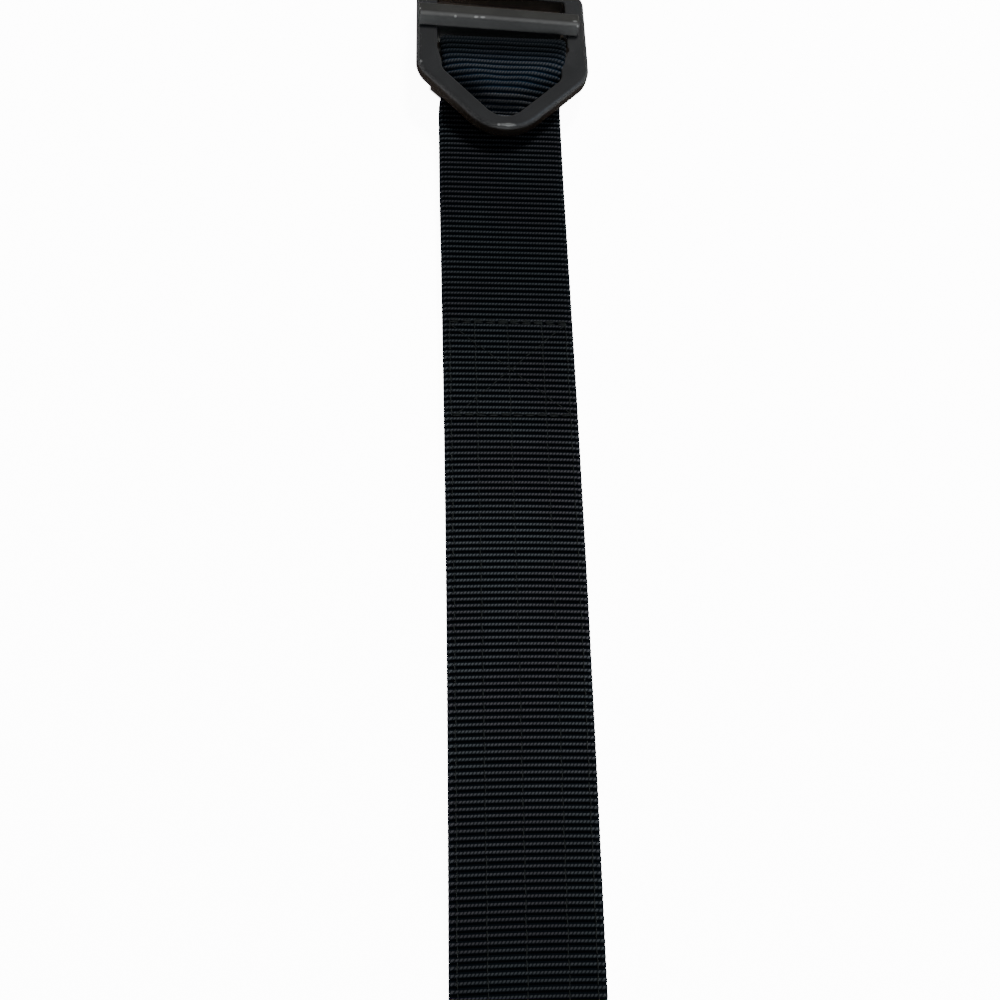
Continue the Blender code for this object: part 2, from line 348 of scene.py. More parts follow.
def rail_drop(webbing, buckle, along):
    """How far the frame has bent down at this distance from the ring's tip."""
    straight = BUCKLE_LENGTH - buckle.outer_round - buckle.bend_start - buckle.bend_length / 2
    past = np.maximum(np.asarray(along) - buckle.bend_start, 0.0)
    in_bend = past ** 2 / (2 * buckle.bend_length)
    behind = past - buckle.bend_length / 2
    return frame_underside(webbing) / straight * np.where(past < buckle.bend_length, in_bend, behind)


def rail_slope(webbing, buckle):
    """Slope of the rails behind their bend, taken over their last stretch."""
    stretch = 0.01
    before = rail_drop(webbing, buckle, BUCKLE_LENGTH - stretch)
    return float(rail_drop(webbing, buckle, BUCKLE_LENGTH) - before) / stretch


def crossbar_height(webbing, buckle):
    drop = float(rail_drop(webbing, buckle, buckle.crossbar_at))
    return frame_underside(webbing) + buckle.thickness / 2 - drop


def hole_apex(buckle):
    """Where the two slanted sides of the hole would meet if its tip weren't round."""
    return buckle.hole_tip + buckle.hole_radius * (1 - math.sqrt(2))


# Inside the ring the webbing comes out from under the ring's edge, puffs up and climbs to the
# crossbar. It bends along a line with this radius at the tip, from this far before the line
BEND_ROUND = 0.0088
BEND_LEAD = 0.0002
# How far on the bend reaches, where past the line the puff starts, its share of the whole rise, and
# where along the belt the climb starts
EDGE_REACH = 0.0051
PUFF_START = 0.0024
PUFF_HEIGHT = 0.82
RAMP_START = 0.0106
# Where its middle starts to hang, how long that takes to reach its depth, and its place across
VALLEY_START, VALLEY_LENGTH, VALLEY_X = 0.0021, 0.009, -0.0009
# At the hole's edge it is held down to this rise, and to this much more for each metre further in
HELD_AT, HELD_SLOPE = 0.0018, 2.6
# Over this stretch the webbing comes back to the buckle's centre line
OFFSET_FROM, OFFSET_TO = 0.013, 0.025
# The ribs' slope across in the ring, how much of it is lost over this length, how far all of them
# lie ahead, and how far outside the hole's edge that starts
TWIST, TWIST_LOSS, TWIST_FADE = 0.0457, 0.0250, 0.03
RING_AHEAD = -0.00044
TWIST_REACH = 0.0055
# The strap's bow to the side: how far before the ring's tip it starts, and its length
BOW_START, BOW_LENGTH = 0.02, 0.27
# The ribs' own bow fades over these lengths at the cut ends and before its end on the top ply.
# A rib keeps its place where the square of the share across is this
END_FADE, BUCKLE_FADE = 0.02, 0.1
BOWED_TO = -TAIL - 0.05
UNBOWED = 0.6
# Steps round the crossbar and along the webbing near the buckle. Up to this place it lies level
LOOP_STEPS = 48
TABLE_STEP = 0.0001
LEVEL_TO = -0.01


def side_bow(webbing, along):
    """How far the strap has strayed to the right at this distance along it."""
    return webbing.side_bow * np.sin(math.pi * np.clip((-along - BOW_START) / BOW_LENGTH, 0.0, 1.0))


class WebbingPath:
    """The middle surface of the folded webbing, by share across and by length from the top ply's end."""

    def __init__(self, webbing, buckle):
        self.webbing = webbing
        self.buckle = buckle
        self.bar = buckle.crossbar_at
        self.bar_height = crossbar_height(webbing, buckle)
        self.loop_radius = buckle.crossbar_radius + GAP + webbing.ply / 2
        self.loop_length = math.pi * self.loop_radius
        near = np.arange(0.0, self.bar + TABLE_STEP / 2, TABLE_STEP)
        self.stations = np.concatenate([[TAIL, LEVEL_TO], near])
        self.whole_length = self.column_table(0.0)[-1][-1]

    def across(self, share, along):
        """Where a share across the webbing, from -1 to 1, lies at this distance along it."""
        shift = ease((along - OFFSET_FROM) / (OFFSET_TO - OFFSET_FROM))
        throat = self.buckle.throat_end
        near_bar = ease((along - throat) / (self.bar - throat))
        half = self.webbing.width / 2 + self.webbing.flare * near_bar
        return self.webbing.offset * (1 - shift) + share * half + side_bow(self.webbing, along)

    def depth(self, x, along):
        """How far inside the ring's hole a place lies, squarely from the hole's edge."""
        apex = hole_apex(self.buckle)
        return (along - apex - np.hypot(x, self.buckle.hole_tip - apex)) / math.sqrt(2)

    def ramp(self, along):
        return ease((along - RAMP_START) / (self.bar - RAMP_START))

    def rise(self, x, along, whole):
        """How far the top ply has risen, where whole is its rise at the crossbar."""
        bend = (along - self.buckle.hole_tip + BEND_ROUND - np.hypot(x, BEND_ROUND)) / math.sqrt(2)
        puff = PUFF_HEIGHT * ease((bend - PUFF_START) / self.webbing.puff_reach)
        ramp = self.ramp(along)
        valley = self.webbing.valley * np.exp(-(((x - VALLEY_X) / self.webbing.valley_width) ** 2))
        hanging = valley * ease((along - VALLEY_START) / VALLEY_LENGTH) * (1 - ramp)
        free = whole * ease((bend + BEND_LEAD) / EDGE_REACH) * (1 - (1 - puff) * (1 - ramp))
        held = HELD_AT + HELD_SLOPE * np.maximum(self.depth(x, along), 0.0)
        return np.maximum(np.minimum(free - hanging, held), 0.0)

    def twist(self, x, along):
        """How far a rib in the ring runs ahead of where the strap's ribs would go on."""
        inside = ease(1 + self.depth(x, along) / TWIST_REACH)
        return inside * (RING_AHEAD + x * (TWIST - TWIST_LOSS * ease(along / TWIST_FADE)))

    def column_table(self, share):
        """Distance along, height and length so far down one column, from end to end of the webbing."""
        ply = self.webbing.ply
        x = self.across(share, self.stations)
        flat = 1.5 * ply + GAP
        crest = self.bar_height + self.loop_radius
        top = flat + self.rise(x, self.stations, crest - flat)
        fold = self.bar_height - self.loop_radius
        under = ply / 2 + (fold - ply / 2) * self.ramp(self.stations)
        turn = np.linspace(0.0, math.pi, LOOP_STEPS + 1)[1:-1]
        along = np.concatenate([
            self.stations, self.bar + self.loop_radius * np.sin(turn), self.stations[::-1]
        ])
        height = np.concatenate([top, self.bar_height + self.loop_radius * np.cos(turn), under[::-1]])
        steps = np.hypot(np.diff(along), np.diff(height))
        so_far = np.concatenate([[0.0], np.cumsum(steps)])
        twist = self.twist(x, self.stations)
        round_bar = np.full(len(turn), twist[-1])
        unwound = twist[-1] * ease(self.stations[::-1] / self.bar)
        return along, height, so_far + np.concatenate([twist, round_bar, unwound])

    def points(self, shares, lengths):
        """An array of points, a row for each length and a column for each share across."""
        found = np.zeros((len(lengths), len(shares), 3))
        end = self.whole_length
        half_way = end / 2 + self.loop_length
        free = ease(lengths / END_FADE) * ease((end - lengths) / END_FADE)
        free = free * ease((BOWED_TO - lengths) / BUCKLE_FADE)
        for column, share in enumerate(shares):
            along, height, so_far = self.column_table(share)
            ends_together = (so_far[-1] - end) * ease((lengths - half_way) / (end - half_way))
            place = lengths + ends_together + free * self.webbing.rib_bow * (UNBOWED - share ** 2)
            found[:, column, 1] = np.interp(place, so_far, along)
            found[:, column, 2] = np.interp(place, so_far, height)
            found[:, column, 0] = self.across(share, found[:, column, 1])
        found[:, :, 1] += TIP_Y
        return found

    def outward(self, shares, lengths, step=0.0002, share_step=0.004):
        """Unit normals on the same grid, pointing to the outer side of the fold."""
        forward = self.points(shares, lengths + step) - self.points(shares, lengths - step)
        sideways = self.points(shares + share_step, lengths) - self.points(shares - share_step, lengths)
        normals = np.cross(sideways, forward)
        return normals / np.linalg.norm(normals, axis=2, keepdims=True)


# The webbing

# Points across the outer side, the share of half the width out to which they lie, and the share past
# which points belong to the edge
OUTER_POINTS = 15
OUTER_SHARE = 0.87
EDGE_SHARE = 0.9
# Shares of half the width by which the edge swells and dips between ribs, the share of the thickness
# that a cut end has, and the power that shapes a rib
EDGE_SWELL = 0.013
SCALLOP = 0.003
END_PINCH = 0.8
RIB_POWER = 1.1
# How much longer the top ply is than its way along the belt, because it climbs
CLIMB = 0.003


def cross_section():
    """Shares across, thickness and ribbing round one ply, from the middle of its plain inner side."""
    outer = [(share, 1.0, 1.0) for share in np.linspace(-OUTER_SHARE, OUTER_SHARE, OUTER_POINTS)]
    left = [(0.0, -1.0, 0.0), (-0.95, -1.0, 0.0), (-1.0, -0.35, 0.6)]
    left += [(-1.0, 0.35, 0.8), (-0.955, 0.9, 1.0)]
    right = [(-share, thick, ribbed) for share, thick, ribbed in reversed(left)]
    return np.array(left + outer + right)


def rib_rows(path):
    """Where the webbing has a row of points, counted in ribs: four to a rib on top, and three below."""
    pitch = path.webbing.rib_pitch
    top_ribs = round((path.bar - TAIL + CLIMB + path.loop_length) / pitch)
    end = path.whole_length / pitch
    top = [rib + phase for rib in range(top_ribs) for phase in (0.0, 0.25, 0.5, 0.75)]
    under = [rib + phase for rib in range(top_ribs, math.floor(end)) for phase in (0.0, 1 / 3, 2 / 3)]
    return np.array(top + under + [end])


def ribbed_surface(webbing, path):
    """Places of the webbing's points by row and column, and their share across, rib and ribbing."""
    ribs = rib_rows(path)
    shares, thick, ribbed = cross_section().T
    lengths = ribs * webbing.rib_pitch
    groove = 1 - np.abs(np.sin(ribs * math.pi)) ** RIB_POWER
    height = np.outer(np.ones(len(ribs)), thick) * webbing.ply / 2
    height -= np.outer(groove, ribbed * np.sign(thick)) * webbing.rib_depth
    height[[0, -1]] *= END_PINCH
    places = path.points(shares, lengths) + path.outward(shares, lengths) * height[:, :, None]
    sides = np.sign(shares) * (np.abs(shares) > EDGE_SHARE) * webbing.width / 2
    places[:, :, 0] += np.outer(EDGE_SWELL - groove * SCALLOP, sides)
    weave = np.zeros_like(places)
    weave[:, :, 0] = shares
    weave[:, :, 1] = ribs[:, None]
    weave[:, :, 2] = ribbed * (thick > 0)
    return places, weave


def laid_grid(places, weave):
    """The mesh of a grid whose points are moved to their places, and store what the finish reads."""
    rows, columns = places.shape[:2]
    shape = bmesh.new()
    bmesh.ops.create_grid(shape, x_segments=columns - 1, y_segments=rows - 1, size=1.0)
    mesh = as_mesh("webbing_grid", shape)
    grid = np.zeros(len(mesh.vertices) * 3, np.float32)
    mesh.vertices.foreach_get("co", grid)
    grid = grid.reshape(-1, 3).astype(float)
    column = np.rint((grid[:, 0] + 1) / 2 * (columns - 1)).astype(int)
    row = np.rint((grid[:, 1] + 1) / 2 * (rows - 1)).astype(int)
    mesh.vertices.foreach_set("co", places[row, column].astype(np.float32).ravel())
    mesh.attributes.new("weave", "FLOAT_VECTOR", "POINT")
    mesh.attributes["weave"].data.foreach_set("vector", weave[row, column].astype(np.float32).ravel())
    return mesh


def webbing_mesh(webbing, path):
    """The grid closed to a tube, with a face over each of its two ends."""
    grid = laid_grid(*ribbed_surface(webbing, path))
    shape = bmesh.new()
    shape.from_mesh(grid)
    bpy.data.meshes.remove(grid)
    bmesh.ops.remove_doubles(shape, verts=shape.verts, dist=SAME_PLACE)
    ends = [edge for edge in shape.edges if edge.is_boundary]
    bmesh.ops.holes_fill(shape, edges=ends, sides=0)
    return smooth(finished_mesh("webbing", shape), sharp_from=62)


# Painted light along the strap, in stretches: their length, and where along the belt one of them is
# lightest
LIGHT_POOL_LENGTH = 0.30
LIGHT_POOL_AT = -0.175
# Stretches from the ring's tip over which painted light and shade change: the ring's edge, the end of
# the painted light low in the ring, the start of that high in it, the start of the painted shade by the
# crossbar, and the ring's end
RING_EDGE = (0.0005, 0.0025)
LOWER_END = (0.0155, 0.0195)
UPPER_START = (0.0235, 0.029)
BAR_START = (0.024, 0.035)
RING_END = (0.026, 0.036)


def webbing_finish(webbing):
    """Black ribs of slanted yarn knuckles, with near-black painted shade in the grooves between them;
    painted light and shade also change along the belt, at its edges, in the ring and by the crossbar.
    """
    finish = Finish("black_webbing")
    share, rib, outer = finish.parts(finish.attribute("weave", "Vector"))
    x, along, _ = finish.parts(finish.place)
    bar_shade_zone = along.past(BAR_START) * outer
    inside = (along - x.maths("ABSOLUTE")).past(RING_EDGE)
    ring_light_mask = inside * (1 - along.past(RING_END))

    wander = finish.noise(scale=70.0, detail=1.0) - 0.5
    slant = rib.maths("FRACT") - 0.5
    yarn = share * (webbing.yarns / 2) - slant * 1.1 + wander * 0.6
    knuckle = yarn.wave().above(0.2, 0.9)
    crest = rib.wave()
    # Only a narrow ridge of each rib shows the crest colour, a little wider in the ring as painted
    # light; the rest of the rib shows the grooves' painted shade
    narrow = (crest - 0.5 + 0.14 * ring_light_mask).above(0.15, 0.495)
    ridge = narrow.maths("MAXIMUM", bar_shade_zone * crest.above(0.1, 0.6) * 0.6)
    fuzz = finish.noise(scale=5200.0, detail=2.0)
    uneven = finish.noise(scale=480.0, detail=2.0, place=finish.stretched((0.25, 1.0, 0.25)))

    by_knuckle = 0.14 + 0.86 * knuckle
    by_fibre = 0.55 + 0.5 * fuzz + 0.45 * uneven
    # The webbing's edges and plain inner side are painted darker, as shade
    by_edge_shade = 0.2 + 0.8 * outer
    # Painted pools of light along the strap, lighter and darker by turns
    light_pool_phase = (along - (TIP_Y + LIGHT_POOL_AT)) * (math.tau / LIGHT_POOL_LENGTH)
    by_light_pool = 0.74 + 0.26 * light_pool_phase.maths("COSINE")
    # Painted light lifts the webbing low and high in the ring, and painted shade darkens it by the
    # crossbar
    low = inside * (1 - along.past(LOWER_END))
    high = inside * along.past(UPPER_START)
    by_painted_light = (1 - 0.8 * bar_shade_zone) * (1 + 2.7 * low + 0.55 * high)
    light = ridge * by_knuckle * by_fibre * by_edge_shade * by_light_pool * by_painted_light

    tint = finish.noise(scale=45.0, detail=1.0).above(0.35, 0.65)
    warmer = [webbing.crest_colour[channel] for channel in (0, 0, 1)]
    crests = finish.blend(tint, webbing.crest_colour, warmer)
    # Inside the ring, crests and grooves take the paler, bluer painted light
    crests = finish.blend(ring_light_mask, crests, webbing.ring_lit_colour)
    grooves = finish.blend(ring_light_mask, webbing.groove_shade_colour, webbing.ring_groove_lit_colour)
    return finish.finished(
        base_color=finish.blend(light, grooves, crests),
        roughness=0.7 + 0.25 * fuzz,
        normal=finish.bump(ridge * knuckle + fuzz * 0.15, strength=0.6, distance=0.0003),
        specular_ior_level=0.0,
    )


class BELT_OT_add_webbing(bpy.types.Operator):
    """Adds the folded webbing with its ribs"""

    bl_idname = "belt.add_webbing"
    bl_label = "Add webbing"

    def execute(self, context):
        webbing = context.scene.belt_webbing
        mesh = webbing_mesh(webbing, WebbingPath(webbing, context.scene.belt_buckle))
        piece = new_piece("ribbed_webbing", mesh, webbing_finish(webbing))
        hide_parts("webbing")
        return {"FINISHED"}


# The stitching

# Seams as (x, along) from start to end, from the strap's centre line and from the ring's tip
CROSS_SEAMS = (
    ((-0.0206, -0.0741), (0.0208, -0.0745)),
    ((-0.0202, -0.0747), (0.0205, -0.0750)),
    ((-0.0206, -0.0753), (0.0208, -0.0756)),
    ((-0.0202, -0.1096), (0.0203, -0.1094)),
    ((-0.0202, -0.1102), (0.0203, -0.1100)),
    ((-0.0208, -0.0755), (0.0210, -0.1103)),
    ((0.0204, -0.0750), (-0.0188, -0.1103)),
)
# The lengthwise rows' places across, where they start, and how far before the cut end they stop
LENGTHWISE_ROWS = (-0.0201, -0.0115, -0.0003, 0.0116, 0.0198)
ROWS_START = -0.0742
TAIL_SEAM = 0.006
# A thread's length as a share of the pitch, and a seam's wander from stitch to stitch, in radians
STITCH_SHARE = 0.86
WANDER_TURN = 2.3


def seam_lines():
    """Start and end of every straight seam, as (x, along) from the strap's centre line."""
    end = TAIL + TAIL_SEAM
    rows = [((x, ROWS_START), (x, end)) for x in LENGTHWISE_ROWS]
    return [*CROSS_SEAMS, *rows, ((LENGTHWISE_ROWS[0], end), (LENGTHWISE_ROWS[-1], end))]


def seam_of_stitches(stitch, run, count):
    """A straight seam along X from the origin: this many thin threads that dip in at their ends."""
    pitch = run / count
    shape = bmesh.new()
    bmesh.ops.create_uvsphere(shape, u_segments=8, v_segments=4, radius=0.5)
    thread = Matrix.Diagonal((pitch * STITCH_SHARE, stitch.thread, stitch.thread, 1.0))
    lie_down = Matrix.Rotation(math.pi / 2, 4, "Y")
    spot = Matrix.Translation((pitch / 2, 0, -stitch.sunk))
    bmesh.ops.transform(shape, matrix=spot @ thread @ lie_down, verts=shape.verts)
    mesh = as_mesh("one_stitch", shape)
    drawn = new_object("one_stitch", mesh)
    row = drawn.modifiers.new("row", "ARRAY")
    row.count = count
    row.use_relative_offset = False
    row.use_constant_offset = True
    row.constant_offset_displace = (pitch, 0, 0)
    seam = bpy.data.meshes.new_from_object(drawn.evaluated_get(bpy.context.evaluated_depsgraph_get()))
    bpy.data.objects.remove(drawn)
    bpy.data.meshes.remove(mesh)
    return seam


def stitching_mesh(webbing, stitch):
    """Every seam on both sides of the strap."""
    shape = bmesh.new()
    top = 2 * webbing.ply + GAP
    for number, (start, end) in enumerate(seam_lines()):
        run = Vector((end[0] - start[0], end[1] - start[1], 0.0))
        count = max(2, round(run.length / stitch.pitch))
        seam = seam_of_stitches(stitch, run.length, count)
        turn = Matrix.Rotation(math.atan2(run.y, run.x), 4, "Z")
        spot = Matrix.Translation((start[0] + webbing.offset, TIP_Y + start[1], 0))
        for side in (Matrix.Translation((0, 0, top)), Matrix.Scale(-1, 4, (0, 0, 1))):
            before = len(shape.verts)
            shape.from_mesh(seam)
            shape.verts.ensure_lookup_table()
            added = shape.verts[before:]
            for vertex in added:
                turned_on = vertex.co.x / stitch.pitch * WANDER_TURN
                vertex.co.y += math.sin(turned_on + number) * stitch.wander
            bmesh.ops.transform(shape, matrix=side @ spot @ turn, verts=added)
            for vertex in added:
                vertex.co.x += float(side_bow(webbing, vertex.co.y - TIP_Y))
            if side.determinant() < 0:
                turned = [face for face in shape.faces if face.verts[0].index >= before]
                bmesh.ops.reverse_faces(shape, faces=turned)
        bpy.data.meshes.remove(seam)
    mesh = as_mesh("stitching", shape)
    mesh.shade_smooth()
    return mesh


def thread_finish(stitch):
    """Dark thread with fine fibres."""
    finish = Finish("sewing_thread")
    tint = finish.noise(scale=300.0, detail=2.0).above(0.35, 0.65)
    dark = [0.6 * part for part in stitch.thread_colour]
    fibre = finish.noise(scale=6000.0, detail=1.0)
    return finish.finished(
        base_color=finish.blend(tint, dark, stitch.thread_colour),
        roughness=0.55 + 0.2 * tint,
        normal=finish.bump(fibre, strength=0.3, distance=0.0001),
        specular_ior_level=0.35,
    )


class BELT_OT_add_stitching(bpy.types.Operator):
    """Adds the box with its cross, the lengthwise seams and the seam across the end"""

    bl_idname = "belt.add_stitching"
    bl_label = "Add stitching"

    def execute(self, context):
        stitch = context.scene.belt_stitch
        mesh = stitching_mesh(context.scene.belt_webbing, stitch)
        seams = new_piece("stitching", mesh, thread_finish(stitch))
        whole = WebbingPath(context.scene.belt_webbing, context.scene.belt_buckle).whole_length
        return {"FINISHED"}


# The buckle

# Half the turn from facet to facet of an outline's arc, and the number of facets in the rails' bend
HALF_FACET = math.radians(2.5)
BEND_FACETS = 10
# The photo's frame is this much wider on each side than the part's
SIDE_MARGIN = 0.0006
# The throat's right side goes on this much further towards the end bar
THROAT_LONGER = 0.0024
# The frame lies askew about this place (distance from the ring's tip, height), and shifted by this
TURNS_ABOUT = (0.030, 0.0084)
SHIFT = (-0.0003, 0.0001, 0.0008)
# The crossbar reaches this far into each rail
CROSSBAR_HELD = 0.0004
# The lean in degrees at which an edge is worn most, where its bare line also sits as a painted
# highlight, and how far from it the wear ends
WEAR_HIGHLIGHT_LEAN, WEAR_HIGHLIGHT_SPREAD = 38, 36


def rounded(shape, parts, affect, offset, segments):
    """Rounds the corners of an outline (VERTICES) or the edges of a solid (EDGES)."""
    bmesh.ops.bevel(
        shape, geom=parts, offset=offset, offset_type="OFFSET", segments=segments, profile=0.5,
        affect=affect, clamp_overlap=False, material=-1,
    )


def flat_outline(shape, corners):
    """A face in the XY plane whose outline has these (x, y, radius) corners."""
    points = [shape.verts.new((x, y, 0.0)) for x, y, _ in corners]
    shape.faces.new(points)
    for point, (_, _, radius) in zip(points, corners):
        before, after = [edge.other_vert(point).co - point.co for edge in point.link_edges]
        half_turn = (math.pi - before.angle(after)) / 2
        segments = max(3, round(half_turn / HALF_FACET))
        rounded(shape, [point], "VERTICES", radius * math.tan(half_turn), segments)


def cut(shape, point, normal):
    """Cuts the faces along a plane and keeps both sides."""
    everything = shape.verts[:] + shape.edges[:] + shape.faces[:]
    bmesh.ops.bisect_plane(shape, geom=everything, plane_co=point, plane_no=normal, dist=SAME_PLACE)


def draw_out(shape, way):
    """Makes a solid of flat faces by drawing them out."""
    grown = bmesh.ops.extrude_face_region(shape, geom=shape.faces[:])
    moved = [part for part in grown["geom"] if isinstance(part, bmesh.types.BMVert)]
    bmesh.ops.translate(shape, verts=moved, vec=way)
    bmesh.ops.recalc_face_normals(shape, faces=shape.faces)


def flipped(corners):
    """The left half of an outline whose right half is like these corners."""
    return [(-x, y, radius) for x, y, radius in reversed(corners) if x > 0]


def askew(buckle):
    """The matrix that lays the frame, and the bar on it, as they lie in the photo."""
    middle = Matrix.Translation((0.0, TIP_Y + TURNS_ABOUT[0], TURNS_ABOUT[1]))
    turn = Matrix.Rotation(buckle.turn, 4, "Z")
    pitch = Matrix.Rotation(buckle.pitch, 4, "X")
    roll = Matrix.Rotation(buckle.roll, 4, "Y")
    return Matrix.Translation(SHIFT) @ middle @ turn @ pitch @ roll @ middle.inverted()


def hole_side(buckle, throat, longer):
    """One side of the hole: half the throat's width, and how much longer the throat is than usual."""
    corner = hole_apex(buckle) + throat
    return [
        (throat, corner, buckle.throat_radius),
        (throat, buckle.throat_end + longer, buckle.step_radius),
        (buckle.window_half_width, buckle.window_start + longer, buckle.step_radius),
        (buckle.window_half_width, buckle.window_end, buckle.window_radius),
    ]


def frame_corners(buckle):
    """The outlines outside the frame and round its hole, which is narrower on the throat's right."""
    apex = buckle.tip_radius * (1 - math.sqrt(2))
    half = BUCKLE_HALF_WIDTH + SIDE_MARGIN
    outside = [
        (0.0, apex, buckle.tip_radius),
        (half, apex + half, buckle.shoulder_radius),
        (half, BUCKLE_LENGTH, buckle.end_radius),
    ]
    right = hole_side(buckle, buckle.throat_half_width - buckle.throat_inset, THROAT_LONGER)
    left = hole_side(buckle, buckle.throat_half_width, 0.0)
    inside = [(0.0, hole_apex(buckle), buckle.hole_radius), *right, *flipped(left)]
    return outside + flipped(outside), inside


def frame_plate(buckle):
    """The flat frame as a solid plate, cut across where it will bend and down its middle."""
    shape = bmesh.new()
    for corners in frame_corners(buckle):
        flat_outline(shape, corners)
    bmesh.ops.delete(shape, geom=shape.faces, context="FACES_ONLY")
    bmesh.ops.triangle_fill(shape, use_beauty=True, use_dissolve=False, edges=shape.edges)
    bmesh.ops.dissolve_limit(
        shape, angle_limit=math.radians(1), use_dissolve_boundaries=False, verts=[], edges=shape.edges
    )
    cut(shape, (0, 0, 0), (1, 0, 0))
    for step in range(BEND_FACETS + 1):
        bend = buckle.bend_start + buckle.bend_length * step / BEND_FACETS
        cut(shape, (0, bend, 0), (0, 1, 0))
    draw_out(shape, (0, 0, buckle.thickness))
    return shape


def rim_edges(shape, outer):
    """The sharp edges between flat and upright faces, outside the frame or round its hole."""
    middle = Vector((0.0, BUCKLE_LENGTH / 2, 0.0))
    found = []
    for edge in shape.edges:
        upright = [face for face in edge.link_faces if abs(face.normal.z) < 0.5]
        if len(edge.link_faces) != 2 or len(upright) != 1:
            continue
        centre = (edge.verts[0].co + edge.verts[1].co) / 2 - middle
        if (upright[0].normal.dot(centre) > 0) == outer:
            found.append(edge)
    return found


def faces_front(normal):
    """Whether a normal points down the belt and not to a side."""
    return normal.y < -0.2 and abs(normal.x) < 0.3


def mark_wear(shape, front_only=False):
    """Stores how far each point faces up, for the sides' painted shade, and how strongly it lies on a
    worn edge, whose bare line on the slide bar's front crest is also a painted highlight.
    """
    shape.normal_update()
    wear_and_highlight = shape.verts.layers.float.new("wear_and_highlight_edge")
    facing = shape.verts.layers.float.new("facing_up")
    for vertex in shape.verts:
        lean = math.degrees(math.acos(max(-1.0, min(1.0, vertex.normal.z))))
        counted = not front_only or faces_front(vertex.normal)
        vertex[wear_and_highlight] = max(0.0, 1 - abs(lean - WEAR_HIGHLIGHT_LEAN) / WEAR_HIGHLIGHT_SPREAD) * counted
        vertex[facing] = max(face.normal.z for face in vertex.link_faces)


def buckle_frame_mesh(webbing, buckle):
    """The plate with rounded edges, bent down behind the ring and laid on the webbing."""
    shape = frame_plate(buckle)
    rounded(shape, rim_edges(shape, True), "EDGES", buckle.outer_round, segments=5)
    rounded(shape, rim_edges(shape, False), "EDGES", buckle.inner_round, segments=3)
    mark_wear(shape)
    for vertex in shape.verts:
        vertex.co.z += frame_underside(webbing) - float(rail_drop(webbing, buckle, vertex.co.y))
        vertex.co.y += TIP_Y
    bmesh.ops.transform(shape, matrix=askew(buckle), verts=shape.verts)
    mesh = finished_mesh("buckle_frame", shape)
    mesh.shade_smooth()
    return mesh


def crossbar_mesh(webbing, buckle):
    """A plain round bar from rail to rail, inside the fold of the webbing."""
    shape = bmesh.new()
    radius = buckle.crossbar_radius
    span = 2 * (buckle.window_half_width + CROSSBAR_HELD)
    turned = Matrix.Rotation(math.pi / 2, 4, "Y")
    place = Matrix.Translation((0.0, TIP_Y + buckle.crossbar_at, crossbar_height(webbing, buckle)))
    bmesh.ops.create_cone(
        shape, cap_ends=True, segments=40, radius1=radius, radius2=radius, depth=span,
        matrix=place @ turned,
    )
    return smooth(finished_mesh("crossbar", shape), sharp_from=40)


# Chips in the coating, in metres: x, distance from the ring's tip, height and radius, then how many
# times as long they are across the belt
CHIPS = (
    # The first three make a bare worn line along the ring's tip, which is also a painted highlight there
    (-0.0026, 0.0014, 0.0120, 0.0006, 1.5),
    (0.0006, 0.0014, 0.0119, 0.0008, 4.5),
    (0.0018, 0.0014, 0.0119, 0.0007, 2.5),
    (-0.0306, 0.0270, 0.0134, 0.0006, 1.0),
    (0.0262, 0.0605, 0.0105, 0.0007, 1.0),
)
# Shares of its radius within which a chip is all bare, and by which its outline is ragged
CHIP_CORE, CHIP_RAGGED = 0.35, 1.4
# Past this stretch upright faces are those of the end bar, and are painted this many times as pale, as
# painted light on its wall
END_BAR_START = (0.060, 0.062)
END_BAR_PAINTED_LIGHT = 6.5


def coated_metal(name, bare, base, side, chips, thinned_and_highlit):
    """A dark satin coating with a fine grain, upright sides in a darker painted shade, and bare metal on
    worn edges, which on the slide bar's crest is also a painted highlight.

    The last argument is how far the coating has worn along the whole of such an edge; on the slide bar's
    front crest that bare line is also a painted highlight.
    """
    finish = Finish(name)
    grain = finish.noise(scale=2600.0, detail=2.0)
    cloud = finish.noise(scale=90.0, detail=3.0)
    blotch = finish.noise(scale=420.0, detail=4.0, roughness=0.65)
    wear_and_highlight = finish.attribute("wear_and_highlight_edge", "Fac")
    up = finish.attribute("facing_up", "Fac")

    bare_and_highlight = (wear_and_highlight * 0.9 + blotch * 0.75).above(1.34, 1.5)
    # Bare along the whole worn edge, which on the slide bar's front crest is also its painted highlight
    bare_and_highlight = bare_and_highlight.maths("MAXIMUM", wear_and_highlight.above(0.2, 0.9) * thinned_and_highlit * (0.7 + 0.6 * blotch))
    for x, along, height, radius, longer in chips:
        gap_to = finish.node(
            "ShaderNodeVectorMath",
            {"operation": "DISTANCE"},
            {0: finish.stretched((1 / longer, 1.0, 1.0)), 1: (x / longer, TIP_Y + along, height)},
            output="Value",
        )
        ragged = (blotch - 0.5) * (radius * CHIP_RAGGED)
        chip = 1 - (gap_to + ragged).above(radius * CHIP_CORE, radius)
        bare_and_highlight = bare_and_highlight.maths("MAXIMUM", chip)

    coat = finish.blend(cloud.above(0.3, 0.7), base, [0.85 * part for part in base])
    on_end_bar = finish.parts(finish.place)[1].past(END_BAR_START)
    upright = finish.blend(on_end_bar, side, [END_BAR_PAINTED_LIGHT * part for part in side])
    # Faces that don't face up take the darker side colour, as painted shade
    coat_and_painted_sides = finish.blend(1 - up.above(0.25, 0.75), coat, upright)
    return finish.finished(
        base_color=finish.blend(bare_and_highlight * 0.8, coat_and_painted_sides, bare),
        metallic=bare_and_highlight * 0.7,
        roughness=0.36 + 0.14 * cloud - 0.08 * bare_and_highlight,
        normal=finish.bump(grain + blotch * 0.6, strength=0.2, distance=0.00012),
        specular_ior_level=0.4,
    )


